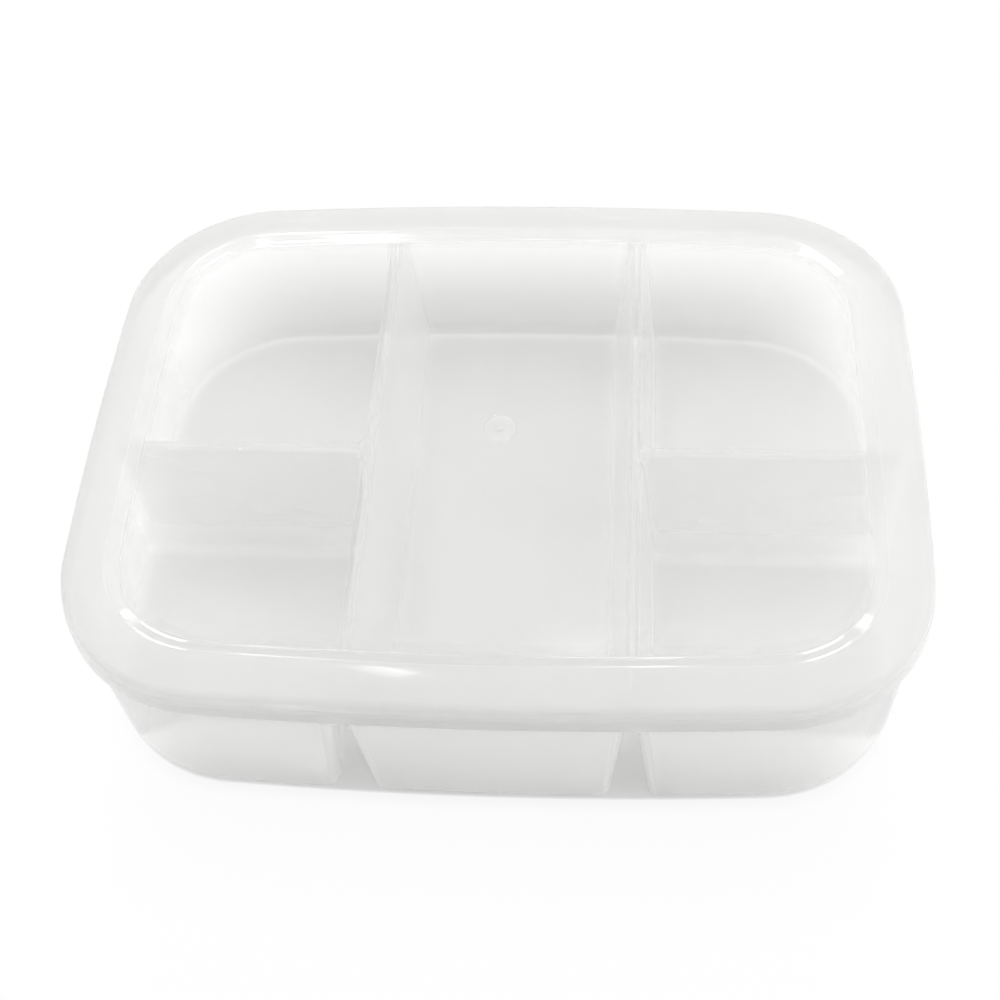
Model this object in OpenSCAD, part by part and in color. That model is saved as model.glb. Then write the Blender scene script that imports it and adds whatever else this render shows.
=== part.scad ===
// Mixing palette: a five-well moulded tray under a lift-off lid.
// Millimetres, +Z up, origin on the table under the middle of the tray.
// The lid's left-right length runs along X, its depth along Y, the front is -Y.

/* [Lid outline] */
// Length of the lid over its bowed left and right sides
lid_len = 190; // [170:1:215]
// Depth of the lid over its bowed front and back sides
lid_dep = 146.6; // [130:0.2:165]
// Radius of the four outer corners
corner_r = 35.5; // [30:0.5:42]
// How far the left and right sides bow out
bow_sides = 2.6; // [1.6:0.2:5]
// How far the front and back sides bow out
bow_front = 4.4; // [2:0.2:6]

/* [Lid section] */
// Wall of the lid
lid_wall = 1; // [0.8:0.1:1.4]
// Height of the upright band that hangs over the tray's rim
band_h = 3.6; // [3.4:0.2:6]
// How far the shoulder above the band steps in
shoulder_in = 0.7; // [0.5:0.1:1]
// Height of the lid above the tray's rim, up to its crest
dome_h = 4.6; // [4.6:0.2:8]
// Radius of the rounded shoulder
shoulder_r = 3.2; // [2.6:0.1:3.2]
// Width of the sloping shoulder, from the outer edge to the crest
crest_in = 10; // [8.5:0.1:12]
// How much the shoulder rises on its way to the crest
crest_rise = 0.6; // [0.3:0.1:1]
// Width of the slope that falls from the crest to the panel
slope_w = 3.7; // [2.5:0.1:5]
// How far the flat panel lies below the crest
panel_drop = 0.8; // [0.5:0.1:1.2]
// Height of the grip bead inside the band
grip_bead = 0.15; // [0.1:0.05:0.25]

/* [Gate dish in the lid] */
// Width of the shallow dish round the moulding gate
dish_w = 8; // [5:0.5:12]
// Depth of the dish
dish_depth = 0.4; // [0.2:0.05:0.5]
// Width of the gate's stub
gate_w = 1.8; // [1:0.1:3]
// Height of the gate's stub over the bottom of the dish
gate_h = 0.35; // [0.2:0.05:0.6]

/* [Tray] */
// Height of the tray at its rim
tray_h = 41.2; // [34:0.2:50]
// Wall and floor of the tray
tray_wall = 1.1; // [0.9:0.1:1.4]
// Clearance between the lid's band and the tray's rim
rim_gap = 0.3; // [0.25:0.05:0.6]
// Height of the thick edge round the rim
rim_h = 2.8; // [2:0.2:3]
// How far the thick edge stands out from the wall
rim_out = 0.5; // [0.4:0.1:1]
// Radius along the outer top edge of the rim
edge_r = 0.3; // [0.2:0.1:0.5]
// How far the outer walls lean in between the rim and the floor
draft = 1.5; // [0.6:0.1:2.4]
// Radius along the inner edge of the rim and along the tops of the dividers
lip_r = 0.8; // [0.4:0.1:0.9]
// Radius round each well floor
floor_r = 2.4; // [1.5:0.1:3]

/* [Dividers] */
// How far the tops of the dividers lie below the rim
divider_drop = 3; // [1:0.2:6]
// Distance from the middle of the tray to each long divider
divider_x = 30.5; // [26:0.5:36]
// Width of a long divider at its top
divider_w = 2.9; // [2.7:0.1:5]
// Width of a long divider at the well floors
divider_foot = 10.2; // [6:0.2:12]
// Place of the two cross dividers, behind (+) or in front of (-) the middle
cross_y = -1; // [-10:0.5:10]
// Width of a cross divider at its top
cross_w = 3; // [2.7:0.1:5]
// Width of a cross divider at the well floors
cross_foot = 7.6; // [5:0.2:12]
// Thickness of the web that closes the hollow dividers at the top
web_t = 1.2; // [1:0.1:2]
// Radius of the well corners that meet a divider, at the divider's top
nook_r = 3; // [2:0.1:6]
// Radius of the same corners at the well floor
nook_foot_r = 1.6; // [1:0.1:3]

/* [Hidden] */
arc_steps = 5;
side_steps = 4;
corner_steps = 12;

// Arcs of the lid's outline: each side is a shallow arc, tangent to the corner arcs.
half_len = lid_len / 2;
half_dep = lid_dep / 2;
side_r = (half_dep * half_dep + bow_sides * bow_sides) / (2 * bow_sides);
front_r = (half_len * half_len + bow_front * bow_front) / (2 * bow_front);
side_c = [half_len - side_r, 0];
front_c = [0, half_dep - front_r];
corner_c = meeting(side_c, side_r - corner_r, front_c, front_r - corner_r);
side_turn = atan2(corner_c[1] - side_c[1], corner_c[0] - side_c[0]);
front_turn = atan2(corner_c[1] - front_c[1], corner_c[0] - front_c[0]);

// Insets from the lid's outer edge, and heights.
rim_in = lid_wall + rim_gap;
wall_in = rim_in + rim_out;
well_in = wall_in + tray_wall;
crest_z = tray_h + dome_h;
band_z = tray_h - band_h;
panel_z = crest_z - panel_drop;
divider_z = tray_h - divider_drop;
web_z = divider_z - web_t;
least_r = 0.25;

// The point, right of and behind the middle, where two circles cross.
function meeting(c1, r1, c2, r2) =
    let (v = c2 - c1)
    let (d = norm(v))
    let (a = (r1 * r1 - r2 * r2 + d * d) / (2 * d))
    let (h = sqrt(r1 * r1 - a * a))
    c1 + v * (a / d) + [v[1], -v[0]] * (-h / d);

// Points along an arc, ends included.
function arc_points(c, r, a0, a1, steps = arc_steps) =
    [for (i = [0:steps]) c + r * [cos(a0 + (a1 - a0) * i / steps), sin(a0 + (a1 - a0) * i / steps)]];

// Points along a long shallow arc between two corner arcs, ends left out.
function side_points(c, r, a0, a1, steps = side_steps) =
    [for (i = [1:steps - 1]) c + r * [cos(a0 + (a1 - a0) * i / steps), sin(a0 + (a1 - a0) * i / steps)]];

function back_to_front(points) = [for (i = [len(points) - 1:-1:0]) points[i]];

function mirrored(points, signs) = [for (p = points) [p[0] * signs[0], p[1] * signs[1]]];

// Closes a quarter outline, listed from the right to the back, into a whole one.
// right and back hold the points on the middle lines, if the outline has any.
function all_round(quarter, right = [], back = []) = concat(
    right,
    quarter,
    back,
    back_to_front(mirrored(quarter, [-1, 1])),
    mirrored(right, [-1, 1]),
    mirrored(quarter, [-1, -1]),
    mirrored(back, [1, -1]),
    back_to_front(mirrored(quarter, [1, -1])));

function body_quarter(inset) = concat(
    arc_points(side_c, side_r - inset, side_turn / side_steps, side_turn, side_steps - 1),
    side_points(corner_c, corner_r - inset, side_turn, front_turn, corner_steps),
    arc_points(front_c, front_r - inset, front_turn, 90 - (90 - front_turn) / side_steps, side_steps - 1));

// The tray's and the lid's outlines, inset from the lid's edge. The lid's reaches its full length and depth.
function body_outline(inset) = all_round(body_quarter(inset));
function lid_outline(inset) = all_round(
    body_quarter(inset),
    [side_c + [side_r - inset, 0]],
    [front_c + [0, front_r - inset]]);

// How far each kind of wall has leant in at height z, from its top edge.
function wall_lean(z) = draft * (tray_h - z) / (tray_h - tray_wall);
function well_depth(z) = max(0, (divider_z - z) / (divider_z - tray_wall));
function divider_lean(z) = (divider_foot - divider_w) / 2 * well_depth(z);
function cross_lean(z) = (cross_foot - cross_w) / 2 * well_depth(z);
function nook(z, inset) = max(least_r, nook_r + (nook_foot_r - nook_r) * well_depth(z) - inset);

// Outline at height z of the side well at the back right, listed from its inner corner.
// near is the distance from the middle line to the well's edge at the cross divider.
// out and in are insets from the tray's wall and from the dividers.
function side_well_outline(near, out, in, z) =
    let (r = nook(z, in))
    let (body_in = well_in + wall_lean(z) + out)
    let (near_y = near + cross_lean(z) + in + r)
    let (near_x = divider_x + divider_w / 2 + divider_lean(z) + in + r)
    let (nook_b = [side_c[0] + sqrt(pow(side_r - body_in - r, 2) - pow(near_y, 2)), near_y])
    let (nook_c = [near_x, front_c[1] + sqrt(pow(front_r - body_in - r, 2) - pow(near_x, 2))])
    let (turn_b = atan2(nook_b[1] - side_c[1], nook_b[0] - side_c[0]))
    let (turn_c = atan2(nook_c[1] - front_c[1], nook_c[0] - front_c[0]))
    concat(
        arc_points([near_x, near_y], r, 180, 270),
        arc_points(nook_b, r, -90, turn_b),
        side_points(side_c, side_r - body_in, turn_b, side_turn),
        arc_points(corner_c, corner_r - body_in, side_turn, front_turn, corner_steps),
        side_points(front_c, front_r - body_in, front_turn, turn_c),
        arc_points(nook_c, r, turn_c, 180));

// Outline at height z of the full-depth middle well.
function middle_well_outline(out, in, z) =
    let (r = nook(z, in))
    let (front_ir = front_r - well_in - wall_lean(z) - out)
    let (near_x = divider_x - divider_w / 2 - divider_lean(z) - in - r)
    let (nook_c = [near_x, front_c[1] + sqrt(pow(front_ir - r, 2) - pow(near_x, 2))])
    let (turn = atan2(nook_c[1] - front_c[1], nook_c[0] - front_c[0]))
    all_round(concat(
        arc_points(nook_c, r, 0, turn),
        side_points(front_c, front_ir, turn, 90)));

// Skins a stack of outlines, highest first, that all have the same number of points.
module loft(outlines, heights) {
    n = len(outlines[0]);
    last = len(outlines) - 1;
    polyhedron(
        points = [for (k = [0:last]) for (p = outlines[k]) [p[0], p[1], heights[k]]],
        faces = concat(
            [[for (i = [n - 1:-1:0]) i]],
            [for (k = [0:last - 1]) for (i = [0:n - 1])
                [k * n + i, k * n + (i + 1) % n, (k + 1) * n + (i + 1) % n, (k + 1) * n + i]],
            [[for (i = [0:n - 1]) last * n + i]]));
}

// Lofts through sections listed from the top as [inset, height], round the two outlines.
module body_loft(section) {
    loft([for (s = section) body_outline(s[0])], [for (s = section) s[1]]);
}

module lid_loft(section) {
    loft([for (s = section) lid_outline(s[0])], [for (s = section) s[1]]);
}

// Section of a well's hollow as [inset from the wall, inset from the dividers, height]:
// rounded divider tops, leaning walls, rounded floor edge.
hollow_section = concat(
    [[0.4, -lip_r, divider_z + 0.5]],
    [for (p = arc_points([-lip_r, divider_z - lip_r], lip_r, 90, 0, 3)) [0.05, p[0], p[1]]],
    [for (p = arc_points([floor_r, tray_wall + floor_r], floor_r, 180, 270, 4)) [p[0], p[0], p[1]]]);

// Section of the cup round that hollow, one wall thickness outside it.
cup_section = concat(
    [[-tray_wall, -tray_wall, web_z + web_t / 2]],
    [for (p = arc_points([floor_r, tray_wall + floor_r], floor_r + tray_wall, 180, 270, 4))
        [p[0], p[0], p[1]]]);

module side_well(section, near) {
    loft([for (s = section) side_well_outline(near, s[0], s[1], s[2])], [for (s = section) s[2]]);
}

// All five wells, as cups or as the hollows inside them.
module wells(section) {
    loft([for (s = section) middle_well_outline(s[0], s[1], s[2])], [for (s = section) s[2]]);
    for (flip = [0, 1]) {
        mirror([flip, 0, 0]) {
            side_well(section, cross_w / 2 + cross_y);
            mirror([0, 1, 0])
                side_well(section, cross_w / 2 - cross_y);
        }
    }
}

// The collar that joins the cups: the rim's thick edge outside, the web over the dividers within.
module collar() {
    section = [
        [rim_in + edge_r, tray_h],
        [rim_in, tray_h - edge_r],
        [rim_in, tray_h - rim_h],
        [wall_in + tray_wall / 4, web_z]];
    body_loft(section);
}

// The shallow space over the dividers, from their tops up to the rim.
module basin() {
    section = concat(
        [[well_in - lip_r, tray_h + 1]],
        [for (p = arc_points([well_in - lip_r, tray_h - lip_r], lip_r, 90, 0, 3))
            [p[0] + wall_lean(p[1]), p[1]]],
        [[well_in + wall_lean(divider_z), divider_z]]);
    body_loft(section);
}

module tray() {
    color([0.90, 0.91, 0.90])
        difference() {
            union() {
                wells(cup_section);
                collar();
            }
            basin();
            wells(hollow_section);
        }
}

module lid() {
    seat_in = well_in - lip_r;
    shoulder_x = shoulder_in + shoulder_r;
    shoulder_z = crest_z - crest_rise;
    inner_r = shoulder_x - seat_in;
    panel_in = crest_in + slope_w;
    outside = concat(
        [[panel_in, panel_z], [crest_in, crest_z]],
        arc_points([shoulder_x, shoulder_z - shoulder_r], shoulder_r, 90, 180, 8),
        [[shoulder_in - 0.1, tray_h + 0.6], [0, tray_h], [0, band_z + 0.3], [0.2, band_z]]);
    inside = concat(
        [[panel_in, panel_z - lid_wall], [crest_in, crest_z - lid_wall]],
        arc_points([shoulder_x, shoulder_z - lid_wall - inner_r], inner_r, 90, 180, 6),
        [[seat_in, tray_h], [lid_wall, tray_h]],
        [[lid_wall, band_z + 2.2]],
        [[lid_wall + grip_bead, band_z + 1.8], [lid_wall + grip_bead, band_z + 1.3]],
        [[lid_wall - 0.2, band_z], [lid_wall - 0.2, band_z - 1]]);
    dish_r = (dish_w * dish_w / 4 + dish_depth * dish_depth) / (2 * dish_depth);
    color([0.93, 0.94, 0.93, 0.5])
        union() {
            difference() {
                lid_loft(outside);
                lid_loft(inside);
                translate([0, 0, panel_z - dish_depth + dish_r])
                    sphere(r = dish_r, $fn = 200);
            }
            translate([0, 0, panel_z - dish_depth - 0.1])
                cylinder(d = gate_w, h = gate_h + 0.1, $fn = 32);
        }
}

tray();
lid();
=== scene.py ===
import math

import bmesh
import bpy
import numpy as np
from mathutils import Matrix, Vector


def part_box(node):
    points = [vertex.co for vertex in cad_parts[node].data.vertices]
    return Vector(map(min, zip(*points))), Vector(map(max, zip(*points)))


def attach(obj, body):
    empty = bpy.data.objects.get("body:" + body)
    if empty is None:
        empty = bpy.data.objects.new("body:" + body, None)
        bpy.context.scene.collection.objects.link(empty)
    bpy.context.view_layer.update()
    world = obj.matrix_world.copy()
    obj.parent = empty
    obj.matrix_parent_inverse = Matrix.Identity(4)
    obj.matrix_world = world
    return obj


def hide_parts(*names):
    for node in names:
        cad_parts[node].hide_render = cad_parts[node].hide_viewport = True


# Mixing palette: a milky five-well tray under a clearer lift-off lid, both moulded in polypropylene.
# Shapes are worked out in millimetres round the middle of the tray, and meshObject scales them to metres.

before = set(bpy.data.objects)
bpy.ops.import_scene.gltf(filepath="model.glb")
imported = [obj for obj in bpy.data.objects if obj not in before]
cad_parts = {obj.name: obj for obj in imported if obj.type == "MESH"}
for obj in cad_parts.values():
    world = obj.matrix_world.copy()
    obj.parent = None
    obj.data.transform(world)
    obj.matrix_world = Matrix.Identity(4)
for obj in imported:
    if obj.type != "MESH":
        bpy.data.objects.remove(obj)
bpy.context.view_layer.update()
scene = bpy.context.scene
mm = 0.001

lidLow, lidHigh = (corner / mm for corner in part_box("lid"))
rimZ = (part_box("tray")[1] / mm).z
crestZ = lidHigh.z
bandZ = lidLow.z
print("frame loaded")


# --- outlines shared by the tray and the lid

outlineShape = {
    "cornerRadius": 35.5,
    "sideBow": 2.6,
    "frontBow": 4.4,
    "sideCount": 14,       # the counts are faces along each quarter's curves
    "cornerCount": 40,
    "frontCount": 22,
}


def circlesMeet(centreA, radiusA, centreB, radiusB):
    between = centreB - centreA
    distance = np.hypot(*between)
    along = (radiusA**2 - radiusB**2 + distance**2) / (2 * distance)
    aside = math.sqrt(radiusA**2 - along**2)
    return centreA + between * along / distance - np.array([between[1], -between[0]]) * aside / distance


def arcPoints(centre, radius, start, end, count):
    turn = np.linspace(start, end, count + 1)
    return centre + radius * np.stack([np.cos(turn), np.sin(turn)], 1)


def angleFrom(centre, point):
    return math.atan2(point[1] - centre[1], point[0] - centre[0])


halfLength = lidHigh.x
halfDepth = lidHigh.y
cornerR = outlineShape["cornerRadius"]
sideR = (halfDepth**2 + outlineShape["sideBow"] ** 2) / (2 * outlineShape["sideBow"])
frontR = (halfLength**2 + outlineShape["frontBow"] ** 2) / (2 * outlineShape["frontBow"])
sideC = np.array([halfLength - sideR, 0.0])
frontC = np.array([0.0, halfDepth - frontR])
cornerC = circlesMeet(sideC, sideR - cornerR, frontC, frontR - cornerR)
sideTurn = angleFrom(sideC, cornerC)
frontTurn = angleFrom(frontC, cornerC)


def allRound(quarter):
    # the quarter runs from the middle of the right side to the middle of the back
    left = quarter[::-1] * [-1, 1]
    return np.vstack([quarter, left[1:], (quarter * -1)[1:], (quarter[::-1] * [1, -1])[1:-1]])


def outlineAt(inset):
    return allRound(np.vstack([
        arcPoints(sideC, sideR - inset, 0, sideTurn, outlineShape["sideCount"])[:-1],
        arcPoints(cornerC, cornerR - inset, sideTurn, frontTurn, outlineShape["cornerCount"]),
        arcPoints(frontC, frontR - inset, frontTurn, math.pi / 2, outlineShape["frontCount"])[1:],
    ]))


arcReach = 0.49       # an arc takes up no more than this share of the sides it joins
leastArc = 0.01       # mm, anything smaller stays a corner


def filleted(corners, steps):
    # corners are (inset, height, radius); each but the two ends becomes an arc of that radius
    points = [corners[0][:2]]
    for before, corner, after in zip(corners, corners[1:], corners[2:]):
        here = Vector(corner[:2])
        back = Vector(before[:2]) - here
        ahead = Vector(after[:2]) - here
        half = back.angle(ahead) / 2
        reach = min(corner[2] / math.tan(half), arcReach * back.length, arcReach * ahead.length)
        radius = reach * math.tan(half)
        if radius < leastArc:
            points.append(tuple(here))
            continue
        first = here + back.normalized() * reach
        centre = here + (back.normalized() + ahead.normalized()).normalized() * (radius / math.sin(half))
        start = first - centre
        sweep = math.pi - 2 * half
        if start.x * (here - centre).y - start.y * (here - centre).x < 0:
            sweep = -sweep
        for step in range(steps + 1):
            points.append(tuple(centre + Matrix.Rotation(sweep * step / steps, 2) @ start))
    return points + [corners[-1][:2]]


# --- mesh helpers

weldGap = 2e-6        # m, points closer than this become one


def meshObject(name, points, faces):
    mesh = bpy.data.meshes.new(name)
    mesh.from_pydata([(x * mm, y * mm, z * mm) for x, y, z in points], [], faces)
    piece = bpy.data.objects.new(name, mesh)
    scene.collection.objects.link(piece)
    return piece


def ringFaces(ringCount, pointCount):
    faces = []
    for ring in range(ringCount - 1):
        low = ring * pointCount
        high = low + pointCount
        for i in range(pointCount):
            j = (i + 1) % pointCount
            faces.append((low + i, low + j, high + j, high + i))
    return faces


def lofted(name, rings):
    # rings are (outline, height), highest first; the ends are closed flat
    count = len(rings[0][0])
    points = [(x, y, z) for outline, z in rings for x, y in outline]
    faces = [tuple(reversed(face)) for face in ringFaces(len(rings), count)]
    faces.append(tuple(range(count)))
    faces.append(tuple(range((len(rings) - 1) * count, len(rings) * count))[::-1])
    return meshObject(name, points, faces)


def combined(base, others, operation):
    for other in others:
        join = base.modifiers.new("combine", "BOOLEAN")
        join.operation = operation
        join.solver = "MANIFOLD"
        join.object = other
    bpy.context.view_layer.update()
    solid = bpy.data.meshes.new_from_object(base.evaluated_get(bpy.context.evaluated_depsgraph_get()))
    base.modifiers.clear()
    base.data = solid
    base.data.materials.clear()
    for other in others:
        bpy.data.objects.remove(other)
    return base


def shadeSmooth(piece, crispFrom):
    # edges that turn by at least this many degrees stay crisp
    sharpest = math.radians(crispFrom)
    shape = bmesh.new()
    shape.from_mesh(piece.data)
    bmesh.ops.remove_doubles(shape, verts=shape.verts, dist=weldGap)
    bmesh.ops.dissolve_degenerate(shape, edges=shape.edges, dist=weldGap)
    bmesh.ops.recalc_face_normals(shape, faces=shape.faces)
    for face in shape.faces:
        face.smooth = True
    for edge in shape.edges:
        edge.smooth = len(edge.link_faces) == 2 and edge.calc_face_angle(0) < sharpest
    shape.to_mesh(piece.data)
    shape.free()


# --- tray

traySizes = {
    "rimIn": 1.3,          # from the lid's edge to the tray's thick rim
    "rimOut": 0.5,
    "rimHeight": 2.8,
    "edgeRadius": 0.3,
    "underEdgeRadius": 0.2,
    "wall": 1.1,
    "draft": 1.5,
    "lipRadius": 0.8,
    "floorRadius": 2.4,
    "dividerDrop": 3.0,
    "dividerX": 30.5,
    "dividerTop": 2.9,
    "dividerFoot": 10.2,
    "crossY": -1.0,
    "crossTop": 3.0,
    "crossFoot": 7.6,
    "web": 1.2,
    "nookRadius": 3.0,
    "nookFootRadius": 1.6,
    "leastNook": 0.25,
    "wellStart": (0.4, 0.5),   # where the wells are cut from: in from the wall, and over the dividers
    "basinOver": 1.0,      # how far over the rim the basin is cut from
    "wellGap": 0.01,       # keeps the wells' walls off the basin's, so the two cuts don't share a face
    "crispFrom": 32,       # degrees
    "lipCount": 8,         # the counts are faces along each curve
    "floorCount": 10,
    "rimCount": 4,
    "nookCount": 10,
    "sideCount": 8,
    "cornerCount": 36,
    "frontCount": 12,
    "middleFrontCount": 14,
}
wall = traySizes["wall"]
wallIn = traySizes["rimIn"] + traySizes["rimOut"]
wellIn = wallIn + wall
dividerZ = rimZ - traySizes["dividerDrop"]
webZ = dividerZ - traySizes["web"]


def wallLean(z):
    return traySizes["draft"] * (rimZ - z) / (rimZ - wall)


def wellDepth(z):
    return max(0.0, (dividerZ - z) / (dividerZ - wall))


def nookAt(z, inset):
    grown = (traySizes["nookFootRadius"] - traySizes["nookRadius"]) * wellDepth(z)
    return max(traySizes["leastNook"], traySizes["nookRadius"] + grown - inset)


def sideWellAt(near, wallInset, dividerInset, z):
    # the well at the back right; near is the distance from the middle line to its cross divider
    radius = nookAt(z, dividerInset)
    bodyIn = wellIn + wallLean(z) + wallInset
    crossLean = (traySizes["crossFoot"] - traySizes["crossTop"]) / 2 * wellDepth(z)
    longLean = (traySizes["dividerFoot"] - traySizes["dividerTop"]) / 2 * wellDepth(z)
    nearY = near + crossLean + dividerInset + radius
    nearX = traySizes["dividerX"] + traySizes["dividerTop"] / 2 + longLean + dividerInset + radius
    nookB = np.array([sideC[0] + math.sqrt((sideR - bodyIn - radius) ** 2 - nearY**2), nearY])
    nookC = np.array([nearX, frontC[1] + math.sqrt((frontR - bodyIn - radius) ** 2 - nearX**2)])
    turnB = angleFrom(sideC, nookB)
    turnC = angleFrom(frontC, nookC)
    nookCount = traySizes["nookCount"]
    return np.vstack([
        arcPoints([nearX, nearY], radius, math.pi, 1.5 * math.pi, nookCount),
        arcPoints(nookB, radius, -math.pi / 2, turnB, nookCount),
        arcPoints(sideC, sideR - bodyIn, turnB, sideTurn, traySizes["sideCount"])[1:-1],
        arcPoints(cornerC, cornerR - bodyIn, sideTurn, frontTurn, traySizes["cornerCount"]),
        arcPoints(frontC, frontR - bodyIn, frontTurn, turnC, traySizes["frontCount"])[1:-1],
        arcPoints(nookC, radius, turnC, math.pi, nookCount),
    ])


def middleWellAt(wallInset, dividerInset, z):
    radius = nookAt(z, dividerInset)
    longLean = (traySizes["dividerFoot"] - traySizes["dividerTop"]) / 2 * wellDepth(z)
    innerR = frontR - wellIn - wallLean(z) - wallInset
    nearX = traySizes["dividerX"] - traySizes["dividerTop"] / 2 - longLean - dividerInset - radius
    nookC = np.array([nearX, frontC[1] + math.sqrt((innerR - radius) ** 2 - nearX**2)])
    turn = angleFrom(frontC, nookC)
    quarter = np.vstack([
        [[nearX + radius, 0]],
        arcPoints(nookC, radius, 0, turn, traySizes["nookCount"]),
        arcPoints(frontC, innerR, turn, math.pi / 2, traySizes["middleFrontCount"])[1:],
    ])
    return allRound(quarter)


def wellLofts(section):
    # section rows are (inset from the wall, inset from the dividers, height)
    lofts = [lofted("middleWell", [(middleWellAt(out, off, z), z) for out, off, z in section])]
    for mirrorX in (1, -1):
        for mirrorY in (1, -1):
            near = traySizes["crossTop"] / 2 + traySizes["crossY"] * mirrorY
            rings = [(sideWellAt(near, out, off, z) * [mirrorX, mirrorY], z) for out, off, z in section]
            if mirrorX * mirrorY < 0:
                rings = [(outline[::-1], z) for outline, z in rings]
            lofts.append(lofted("sideWell", rings))
    return lofts


def makeTray():
    lip = traySizes["lipRadius"]
    floorR = traySizes["floorRadius"]
    rimIn = traySizes["rimIn"]
    lipCount = traySizes["lipCount"]
    floorCount = traySizes["floorCount"]
    startIn, startOver = traySizes["wellStart"]
    lipArc = arcPoints([-lip, dividerZ - lip], lip, math.pi / 2, 0, lipCount)
    floorArc = arcPoints([floorR, wall + floorR], floorR, math.pi, 1.5 * math.pi, floorCount)
    cupArc = arcPoints([floorR, wall + floorR], floorR + wall, math.pi, 1.5 * math.pi, floorCount)
    hollow = [(startIn, -lip, dividerZ + startOver)]
    hollow += [(traySizes["wellGap"], x, z) for x, z in lipArc]
    hollow += [(x, x, z) for x, z in floorArc]
    cup = [(-wall, -wall, webZ + traySizes["web"] / 2)]
    cup += [(x, x, z) for x, z in cupArc]
    collar = filleted([
        (wellIn, rimZ, 0),
        (rimIn, rimZ, traySizes["edgeRadius"]),
        (rimIn, rimZ - traySizes["rimHeight"], traySizes["underEdgeRadius"]),
        (wallIn + wall / 4, webZ, 0),
    ], traySizes["rimCount"])[1:]   # the first corner only turns the edge's arc
    rimArc = arcPoints([wellIn - lip, rimZ - lip], lip, math.pi / 2, 0, lipCount)
    basin = [(wellIn - lip, rimZ + traySizes["basinOver"])]
    basin += [(x + wallLean(z), z) for x, z in rimArc]
    basin += [(wellIn + wallLean(dividerZ), dividerZ)]
    tray = lofted("trayMoulding", [(outlineAt(inset), z) for inset, z in collar])
    combined(tray, wellLofts(cup), "UNION")
    hollows = wellLofts(hollow)
    hollows.append(lofted("basin", [(outlineAt(inset), z) for inset, z in basin]))
    combined(tray, hollows, "DIFFERENCE")
    shadeSmooth(tray, traySizes["crispFrom"])
    return tray


# --- lid

lidSizes = {
    "wall": 1.0,
    "seatGap": 0.02,       # keeps the lid's seat off the tray's rim, so the two faces don't flicker
    "shoulderIn": 0.7,
    "shoulderRadius": 3.2,
    "crestIn": 10.4,
    "crestRise": 0.6,
    "crestRadius": 1.2,
    "slopeWidth": 2.97,
    "stripWidth": 0.6,     # gentler strips along both edges of the slope
    "stripDrop": 0.13,
    "stripRadius": 0.8,
    "panelDrop": 0.8,
    "panelRadius": 1.5,
    "creaseIn": 0.6,       # the crease over the band: how far in, and how far over the band's top
    "creaseRise": 0.6,
    "creaseRadius": 0.25,
    "bandLean": 0.25,      # how far the band leans in at its top
    "edgeRadius": 0.3,
    "innerEdgeRadius": 0.2,
    "seatRadii": (0.15, 0.1),   # where the seat meets the band, and at its inner edge
    "bead": 0.15,          # the grip bead's reach, and its three heights over the band's lower edge
    "beadRows": (1.3, 1.8, 2.2),
    "innerCrestRadius": 2.0,
    "innerPanelRadius": 1.2,
    "flatRun": 3.0,        # the panel's flat next to the slope, before its rings close in on the gate
    "arcCount": 8,
    "crispFrom": 50,       # degrees
    "dishWidth": 8.0,
    "dishDepth": 0.4,
    "dishPower": 1.3,
    "stubWidth": 1.8,
    "stubHeight": 0.35,
    "stubEdge": ((0.96, 0.08), (0.86, 0.0)),   # share of the stub's width, and drop from its top
    "stubSink": 0.03,
    "middleRadius": 0.02,  # of the tiny face that closes the middle
    "panelRings": 14,
    "dishRings": 16,
    "gateBlush": 1.0,      # whitening round the gate
    "frostFade": 0.4,      # the etched border ends this far inside the panel's edge
    "slopePolish": 0.2,    # the slope down to the panel is this much less etched than the border
    "polishIn": 0.2,       # in full from this far inside the crest, after a short fade
    "polishFade": 0.1,
}


def panelRings(start, radius, z, count):
    # from the edge of the flat panel in to a circle, both given as outlines with matching points
    around = np.arctan2(start[:, 1], start[:, 0])
    circle = radius * np.stack([np.cos(around), np.sin(around)], 1)
    return [(start + (circle - start) * step / count, z) for step in range(1, count + 1)]


def dishRings(outline, panelZ):
    around = np.arctan2(outline[:, 1], outline[:, 0])
    unit = np.stack([np.cos(around), np.sin(around)], 1)
    half = lidSizes["dishWidth"] / 2
    stub = lidSizes["stubWidth"] / 2
    count = lidSizes["dishRings"]
    rings = []
    for step in range(count + 1):
        radius = half + (stub - half) * step / count
        sunk = lidSizes["dishDepth"] * (1 - (radius / half) ** 2) ** lidSizes["dishPower"]
        rings.append((unit * radius, panelZ - sunk))
    top = rings[-1][1] + lidSizes["stubHeight"]
    rings += [(unit * stub * share, top - drop) for share, drop in lidSizes["stubEdge"]]
    rings.append((unit * lidSizes["middleRadius"], top - lidSizes["stubSink"]))
    return rings


def clamped(value):
    return min(1.0, max(0.0, value))


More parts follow.
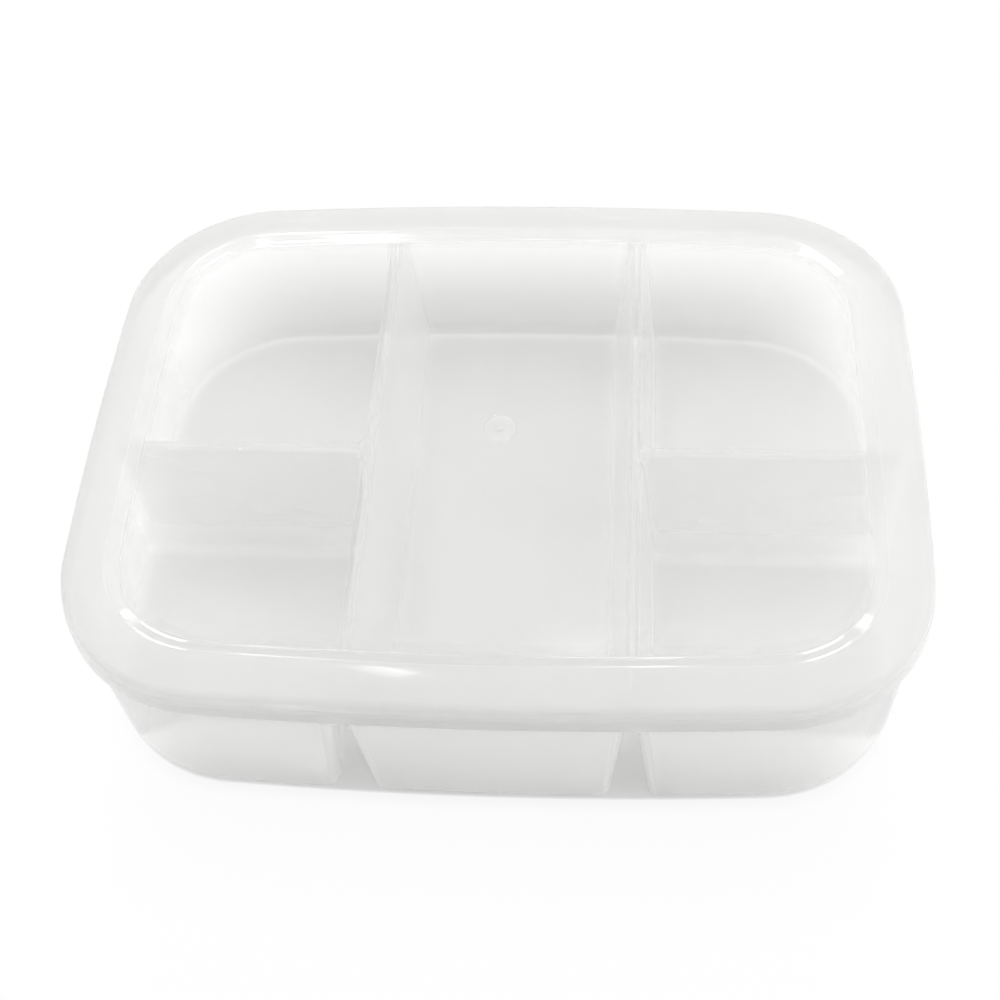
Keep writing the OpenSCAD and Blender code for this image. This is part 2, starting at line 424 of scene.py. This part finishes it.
def makeLid():
    lidWall = lidSizes["wall"]
    shoulderIn = lidSizes["shoulderIn"]
    crestIn = lidSizes["crestIn"]
    panelIn = crestIn + lidSizes["slopeWidth"]
    panelZ = crestZ - lidSizes["panelDrop"]
    stripWidth = lidSizes["stripWidth"]
    stripDrop = lidSizes["stripDrop"]
    shoulderRadius = lidSizes["shoulderRadius"]
    shoulderRun = crestIn - shoulderIn - shoulderRadius
    edgeZ = crestZ - lidSizes["crestRise"] * (crestIn - shoulderIn) / shoulderRun
    flatIn = panelIn + lidSizes["flatRun"]
    beadIn = lidWall + lidSizes["bead"]
    beadZ = [bandZ + row for row in lidSizes["beadRows"]]
    seatIn = wellIn - traySizes["lipRadius"]
    seatZ = rimZ + lidSizes["seatGap"]
    edge = lidSizes["edgeRadius"]
    innerEdge = lidSizes["innerEdgeRadius"]
    section = filleted([   # over the outside from the panel to the band's lower edge, and back inside
        (flatIn, panelZ, 0),
        (panelIn, panelZ, lidSizes["panelRadius"]),
        (panelIn - stripWidth, panelZ + stripDrop, lidSizes["stripRadius"]),
        (crestIn + stripWidth, crestZ - stripDrop, lidSizes["stripRadius"]),
        (crestIn, crestZ, lidSizes["crestRadius"]),
        (shoulderIn, edgeZ, shoulderRadius),
        (lidSizes["creaseIn"], rimZ + lidSizes["creaseRise"], edge),
        (lidSizes["bandLean"], rimZ, lidSizes["creaseRadius"]),
        (0, bandZ, edge),
        (lidWall - innerEdge, bandZ, innerEdge),
        (beadIn, beadZ[0], innerEdge),
        (beadIn, beadZ[1], innerEdge),
        (lidWall, beadZ[2], innerEdge),
        (lidWall, seatZ, lidSizes["seatRadii"][0]),
        (seatIn, seatZ, lidSizes["seatRadii"][1]),
        (seatIn, edgeZ - lidWall, shoulderRadius - seatIn + shoulderIn),
        (crestIn, crestZ - lidWall, lidSizes["innerCrestRadius"]),
        (panelIn, panelZ - lidWall, lidSizes["innerPanelRadius"]),
        (flatIn, panelZ - lidWall, 0),
    ], lidSizes["arcCount"])
    rings = [(outlineAt(inset), z) for inset, z in section]
    over = panelRings(rings[0][0], lidSizes["dishWidth"] / 2, panelZ, lidSizes["panelRings"])
    dish = dishRings(rings[0][0], panelZ)
    under = panelRings(rings[-1][0], lidSizes["middleRadius"], panelZ - lidWall, lidSizes["panelRings"])
    rings = dish[::-1] + over[-2::-1] + rings + under
    count = len(rings[0][0])
    points = [(x, y, z) for outline, z in rings for x, y in outline]
    faces = ringFaces(len(rings), count)
    faces.append(tuple(range(count))[::-1])
    faces.append(tuple(range((len(rings) - 1) * count, len(rings) * count)))
    lid = meshObject("lidMoulding", points, faces)
    # how etched each ring is: the outside of the border and the gate's dish are, the rest is clear
    clearIn = panelIn + lidSizes["frostFade"]
    polishIn = crestIn + lidSizes["polishIn"]
    frost = lid.data.attributes.new("frost", "FLOAT", "POINT")
    sectionStart = len(dish) + len(over) - 1
    heights = [z for inset, z in section]
    lowest = heights.index(min(heights))
    for ring in range(len(rings)):
        step = ring - sectionStart
        inset = section[step][0] if 0 <= step < len(section) else clearIn
        milky = clamped((clearIn - inset) / lidSizes["frostFade"]) if step <= lowest else 0.0
        milky *= 1 - lidSizes["slopePolish"] * clamped(1 - (polishIn - inset) / lidSizes["polishFade"])
        if ring < len(dish) - 2:
            milky = lidSizes["gateBlush"]
        for i in range(count):
            frost.data[ring * count + i].value = milky
    shadeSmooth(lid, lidSizes["crispFrom"])
    return lid


# --- materials

def linearColour(code):
    # a colour as sRGB hex, such as "#E9E9E8", to its linear values
    def channel(start):
        value = int(code[start:start + 2], 16) / 255
        return value / 12.92 if value <= 0.04045 else ((value + 0.055) / 1.055) ** 2.4
    return (channel(1), channel(3), channel(5), 1.0)


def addNode(tree, kind, inputs=None, **settings):
    node = tree.nodes.new(kind)
    for name, value in settings.items():
        setattr(node, name, value)
    for key, value in (inputs or {}).items():
        if isinstance(value, bpy.types.NodeSocket):
            tree.links.new(value, node.inputs[key])
        else:
            node.inputs[key].default_value = value
    return node


def newMaterial(name):
    material = bpy.data.materials.new(name)
    material.use_nodes = True
    material.node_tree.nodes.clear()
    return material, material.node_tree


trayFinish = {
    "colours": ("#E9E9E8", "#F6F6F5"),
    "roughness": (0.08, 0.12),
    "etch": 0.0,            # extra roughness where the surface is etched
    "veil": 0.16,           # share of the light that each face of the wall holds back, seen straight on
    "frostVeil": 0.16,      # the same where the surface is etched, which the tray is nowhere
    "glow": 0.55,           # share of the held light that comes through from the far side
    "cloud": 38.0,          # mm, soft unevenness of the melt
    "ripple": 24.0,         # mm, slow unevenness left by cooling
    "rippleDepth": 0.10,    # mm
}
lidFinish = {
    "colours": ("#E1E1E0", "#E9E9E8"),
    "roughness": (0.05, 0.08),
    "etch": 0.34,
    "veil": 0.07,
    "frostVeil": 0.50,
    "glow": 0.60,
    "cloud": 45.0,
    "ripple": 26.0,
    "rippleDepth": 0.04,
}


polypropylene = {
    "ior": 1.49,
    "straightOn": 0.04,     # share mirrored where the surface faces the eye
    "slantPower": 5.0,      # how late that grows with the slant
    "leastSlant": 0.15,     # a wall seen flatter than this gets no denser
    "cloudRange": (0.3, 0.7),
    "etchFrom": 0.8,        # etching under this leaves the skin smooth
}


def clarifiedPolypropyleneMoulded(name, finish):
    # clarified polypropylene from a polished mould: a clear milky veil, denser where the wall is seen
    # edge on, under a smooth skin; the lid's etched border is milkier and its shine is soft
    material, tree = newMaterial(name)
    place = addNode(tree, "ShaderNodeTexCoord").outputs["Object"]
    cloud = addNode(tree, "ShaderNodeTexNoise",
                    {"Vector": place, "Scale": 1 / (finish["cloud"] * mm), "Detail": 2.0})
    ripple = addNode(tree, "ShaderNodeTexNoise",
                     {"Vector": place, "Scale": 1 / (finish["ripple"] * mm), "Detail": 1.0})
    tint = addNode(tree, "ShaderNodeMix",
                   {"Factor": cloud.outputs["Fac"],
                    "A": linearColour(finish["colours"][0]),
                    "B": linearColour(finish["colours"][1])}, data_type="RGBA")
    polish = addNode(tree, "ShaderNodeMapRange",
                     {"Value": cloud.outputs["Fac"],
                      "From Min": polypropylene["cloudRange"][0],
                      "From Max": polypropylene["cloudRange"][1],
                      "To Min": finish["roughness"][0], "To Max": finish["roughness"][1]})
    relief = addNode(tree, "ShaderNodeBump",
                     {"Height": ripple.outputs["Fac"], "Strength": 1.0,
                      "Distance": finish["rippleDepth"] * mm})
    plastic = addNode(tree, "ShaderNodeBsdfPrincipled",
                      {"Base Color": tint.outputs["Result"], "Roughness": polish.outputs["Result"],
                       "Normal": relief.outputs["Normal"], "IOR": polypropylene["ior"],
                       "Specular IOR Level": 0.0})   # the skin below carries the shine
    milk = addNode(tree, "ShaderNodeBsdfTranslucent", {"Color": tint.outputs["Result"]})
    held = addNode(tree, "ShaderNodeMixShader",
                   {"Fac": finish["glow"], 1: plastic.outputs["BSDF"], 2: milk.outputs["BSDF"]})
    # the veil: what goes straight through, less where the way through the wall is longer
    frost = addNode(tree, "ShaderNodeAttribute", attribute_name="frost").outputs["Fac"]
    clear = addNode(tree, "ShaderNodeMapRange",
                    {"Value": frost, "To Min": 1 - finish["veil"], "To Max": 1 - finish["frostVeil"]})
    facing = addNode(tree, "ShaderNodeLayerWeight", {"Blend": 0.5}).outputs["Facing"]
    slant = addNode(tree, "ShaderNodeMath", {0: 1.0, 1: facing}, operation="SUBTRACT")
    slant = addNode(tree, "ShaderNodeMath", {0: slant.outputs[0], 1: polypropylene["leastSlant"]},
                    operation="MAXIMUM")
    path = addNode(tree, "ShaderNodeMath", {0: 1.0, 1: slant.outputs[0]}, operation="DIVIDE")
    passed = addNode(tree, "ShaderNodeMath", {0: clear.outputs["Result"], 1: path.outputs[0]},
                     operation="POWER")
    through = addNode(tree, "ShaderNodeBsdfTransparent", {"Color": (1, 1, 1, 1)})
    sheet = addNode(tree, "ShaderNodeMixShader",
                    {"Fac": passed.outputs[0], 1: held.outputs["Shader"], 2: through.outputs["BSDF"]})
    # the skin: a faint mirror that gets stronger with the slant, and rougher where it is etched
    shine = addNode(tree, "ShaderNodeMath", {0: facing, 1: polypropylene["slantPower"]},
                    operation="POWER")
    shine = addNode(tree, "ShaderNodeMapRange",
                    {"Value": shine.outputs[0], "To Min": polypropylene["straightOn"], "To Max": 1.0})
    etch = addNode(tree, "ShaderNodeMapRange",
                   {"Value": frost, "From Min": polypropylene["etchFrom"], "To Min": 0.0,
                    "To Max": finish["etch"]})
    gloss = addNode(tree, "ShaderNodeMath", {0: polish.outputs["Result"], 1: etch.outputs["Result"]},
                    operation="ADD")
    skin = addNode(tree, "ShaderNodeBsdfGlossy",
                   {"Color": (1, 1, 1, 1), "Roughness": gloss.outputs[0],
                    "Normal": relief.outputs["Normal"]})
    mix = addNode(tree, "ShaderNodeMixShader",
                  {"Fac": shine.outputs["Result"], 1: sheet.outputs["Shader"], 2: skin.outputs["BSDF"]})
    addNode(tree, "ShaderNodeOutputMaterial", {"Surface": mix.outputs["Shader"]})
    return material


tray = makeTray()
tray.data.materials.append(clarifiedPolypropyleneMoulded("clarifiedPolypropyleneTray", trayFinish))
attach(tray, "tray")
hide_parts("tray")
print("tray made:", len(tray.data.polygons), "faces")

lid = makeLid()
lid.data.materials.append(clarifiedPolypropyleneMoulded("clarifiedPolypropyleneLid", lidFinish))
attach(lid, "lid")
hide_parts("lid")
print("lid made:", len(lid.data.polygons), "faces")


# --- studio

studio = {
    "floorDrop": 0.3,        # mm below the tray
    # from the middle out: inset from the lid's edge in mm, how white the card looks to the eye, and
    # how light it is to the plastic, at the back and sides and then in front; these last two are
    # painted shade, a painted shadow darkest round the tray's foot and a darker card in front
    "floorRings": (
        (30, 0.0, 0.86, 0.86),
        (4.6, 0.0, 0.80, 0.60),
        (3.4, 0.90, 0.50, 0.08),
        (0, 0.97, 0.46, 0.05),
        (-10, 0.98, 0.52, 0.06),
        (-32, 0.985, 0.85, 0.45),
        (-3000, 0.985, 0.70, 0.55),
    ),
    "underTray": 5,          # rings further in than this lie under the tray and are the same all round
    "paintedSideLight": 0.95,       # how light the card is beyond the short sides: painted light, so the side walls look brighter through the plastic
    "sidePower": 6,          # how late the painted shade and light change towards the sides, and towards the front
    "frontPower": 4,
    "zenith": 1.46,          # brightness of the white room overhead, at its sides, and ahead and behind
    "zenithPower": 3.0,      # how late that changes towards overhead
    "sides": 3.1,
    "sideShift": 0.08,       # leans the side light to the right
    "ends": 0.18,
    "softboxLevel": 26.0,    # brightness of each strip
    "softboxes": {           # strips about 4 m away: the middles of their two ends, and their width, in m
        "softboxNearLeft": ((-0.46, 2.97, 2.62), (-0.92, 3.10, 2.38), 0.11),
        "softboxNearRight": ((0.14, 3.19, 2.40), (-0.20, 3.02, 2.60), 0.11),
        "softboxFarLeft": ((-0.04, 1.97, 3.55), (-0.26, 1.66, 3.70), 0.09),
        "softboxFarRight": ((-0.55, 1.11, 3.85), (-1.05, 1.78, 3.47), 0.12),
    },
}


def seenByEye(tree):
    # 1 where the eye looks, also by a reflection or through glass, and 0 where the object gathers light
    ray = addNode(tree, "ShaderNodeLightPath")
    seen = addNode(tree, "ShaderNodeMath",
                   {0: ray.outputs["Is Camera Ray"], 1: ray.outputs["Is Glossy Ray"]},
                   operation="MAXIMUM")
    seen = addNode(tree, "ShaderNodeMath",
                   {0: seen.outputs[0], 1: ray.outputs["Is Transmission Ray"]}, operation="MAXIMUM")
    return ray, seen.outputs[0]


def makeFloor():
    outlines = [outlineAt(ring[0]) for ring in studio["floorRings"]]
    count = len(outlines[0])
    points = [(x, y, -studio["floorDrop"]) for outline in outlines for x, y in outline]
    floor = meshObject("floor", points, ringFaces(len(outlines), count) + [tuple(range(count))])
    glowing = floor.data.attributes.new("glow", "FLOAT", "POINT")
    paintedShading = floor.data.attributes.new("paintedShade", "FLOAT", "POINT")
    # painted shade on the card: each ring's painted shade, darker towards the front and lighter towards
    # the short sides
    for ring, (inset, glow, paintedShade, paintedFrontShade) in enumerate(studio["floorRings"]):
        for i, (x, y) in enumerate(outlines[ring]):
            outside = 1.0 if inset < studio["underTray"] else 0.0
            aside = outside * clamped(abs(x) / halfLength) ** studio["sidePower"]
            before = outside * clamped(-y / halfDepth) ** studio["frontPower"]
            level = paintedShade + (paintedFrontShade - paintedShade) * before
            glowing.data[ring * count + i].value = glow
            paintedShading.data[ring * count + i].value = level + (studio["paintedSideLight"] - level) * aside
    # matt white card with a soft shadow; seen through the plastic it shows its painted shade and painted
    # side light
    material, tree = newMaterial("mattCardWithPaintedShade")
    paintedShade = addNode(tree, "ShaderNodeAttribute", attribute_name="paintedShade").outputs["Color"]
    glow = addNode(tree, "ShaderNodeAttribute", attribute_name="glow").outputs["Fac"]
    matt = addNode(tree, "ShaderNodeBsdfDiffuse", {"Color": paintedShade})
    white = addNode(tree, "ShaderNodeEmission", {"Color": (1, 1, 1, 1), "Strength": 1.0})
    ray, seen = seenByEye(tree)
    direct = addNode(tree, "ShaderNodeMath", {0: ray.outputs["Transparent Depth"], 1: 0.5},
                     operation="LESS_THAN")   # nothing in between
    share = addNode(tree, "ShaderNodeMath", {0: seen, 1: glow}, operation="MULTIPLY")
    share = addNode(tree, "ShaderNodeMath", {0: share.outputs[0], 1: direct.outputs[0]},
                    operation="MULTIPLY")
    mix = addNode(tree, "ShaderNodeMixShader",
                  {"Fac": share.outputs[0], 1: matt.outputs["BSDF"], 2: white.outputs["Emission"]})
    addNode(tree, "ShaderNodeOutputMaterial", {"Surface": mix.outputs["Shader"]})
    floor.data.materials.append(material)


def makeWorld():
    world = bpy.data.worlds.new("whiteRoom")
    scene.world = world
    world.use_nodes = True
    tree = world.node_tree
    tree.nodes.clear()
    ray, seen = seenByEye(tree)
    towards = addNode(tree, "ShaderNodeTexCoord").outputs["Generated"]
    part = addNode(tree, "ShaderNodeSeparateXYZ", {"Vector": towards})
    aside = addNode(tree, "ShaderNodeMath", {0: part.outputs["X"], 1: studio["sideShift"]},
                    operation="ADD")
    aside = addNode(tree, "ShaderNodeMath", {0: aside.outputs[0], 1: aside.outputs[0]},
                    operation="MULTIPLY")
    aside = addNode(tree, "ShaderNodeMapRange",
                    {"Value": aside.outputs[0], "To Min": studio["ends"], "To Max": studio["sides"]})
    above = addNode(tree, "ShaderNodeMath", {0: part.outputs["Z"], 1: studio["zenithPower"]},
                    operation="POWER")
    light = addNode(tree, "ShaderNodeMix",
                    {"Factor": above.outputs[0], "A": aside.outputs["Result"], "B": studio["zenith"]},
                    data_type="FLOAT")
    level = addNode(tree, "ShaderNodeMix",
                    {"Factor": seen, "A": light.outputs["Result"], "B": 1.0}, data_type="FLOAT")
    room = addNode(tree, "ShaderNodeBackground",
                   {"Color": (1, 1, 1, 1), "Strength": level.outputs["Result"]})
    addNode(tree, "ShaderNodeOutputWorld", {"Surface": room.outputs["Background"]})


def makeSoftbox(name, start, end, width):
    start, end = Vector(start), Vector(end)
    middle = (start + end) / 2
    lamp = bpy.data.lights.new(name, "AREA")
    lamp.shape = "RECTANGLE"
    lamp.size = (end - start).length
    lamp.size_y = width
    lamp.energy = studio["softboxLevel"] * math.pi * lamp.size * lamp.size_y   # W for that brightness
    softbox = bpy.data.objects.new(name, lamp)
    scene.collection.objects.link(softbox)
    away = middle.normalized()
    across = away.cross(end - start).normalized()
    softbox.matrix_world = Matrix((across.cross(away), across, away)).transposed().to_4x4()
    softbox.location = middle


cameraSetup = {
    "place": (27.90, -228.82, 330.33),   # mm
    "yaw": 0.12770,    # radians
    "pitch": 0.93591,
    "roll": -0.08628,
    "lens": 58.139,
    "sensor": 36.0,
    "nearest": 0.01,   # m
}


def makeCamera():
    yaw, pitch, roll = cameraSetup["yaw"], cameraSetup["pitch"], cameraSetup["roll"]
    level = math.cos(pitch)
    ahead = Vector((-math.sin(yaw) * level, math.cos(yaw) * level, -math.sin(pitch)))
    right = Vector((math.cos(yaw), math.sin(yaw), 0))
    up = right.cross(ahead)
    sideways = math.cos(roll) * right + math.sin(roll) * up
    upwards = -math.sin(roll) * right + math.cos(roll) * up
    eye = bpy.data.cameras.new("camera")
    eye.lens = cameraSetup["lens"]
    eye.sensor_width = cameraSetup["sensor"]
    eye.clip_start = cameraSetup["nearest"]
    camera = bpy.data.objects.new("camera", eye)
    scene.collection.objects.link(camera)
    camera.matrix_world = Matrix((sideways, upwards, -ahead)).transposed().to_4x4()
    camera.location = Vector(cameraSetup["place"]) * mm
    scene.camera = camera


makeFloor()
makeWorld()
for name, strip in studio["softboxes"].items():
    makeSoftbox(name, *strip)
makeCamera()
scene.view_settings.view_transform = "Standard"
scene.cycles.transparent_max_bounces = 32
scene.cycles.max_bounces = 14
scene.cycles.diffuse_bounces = 10
print("studio made")
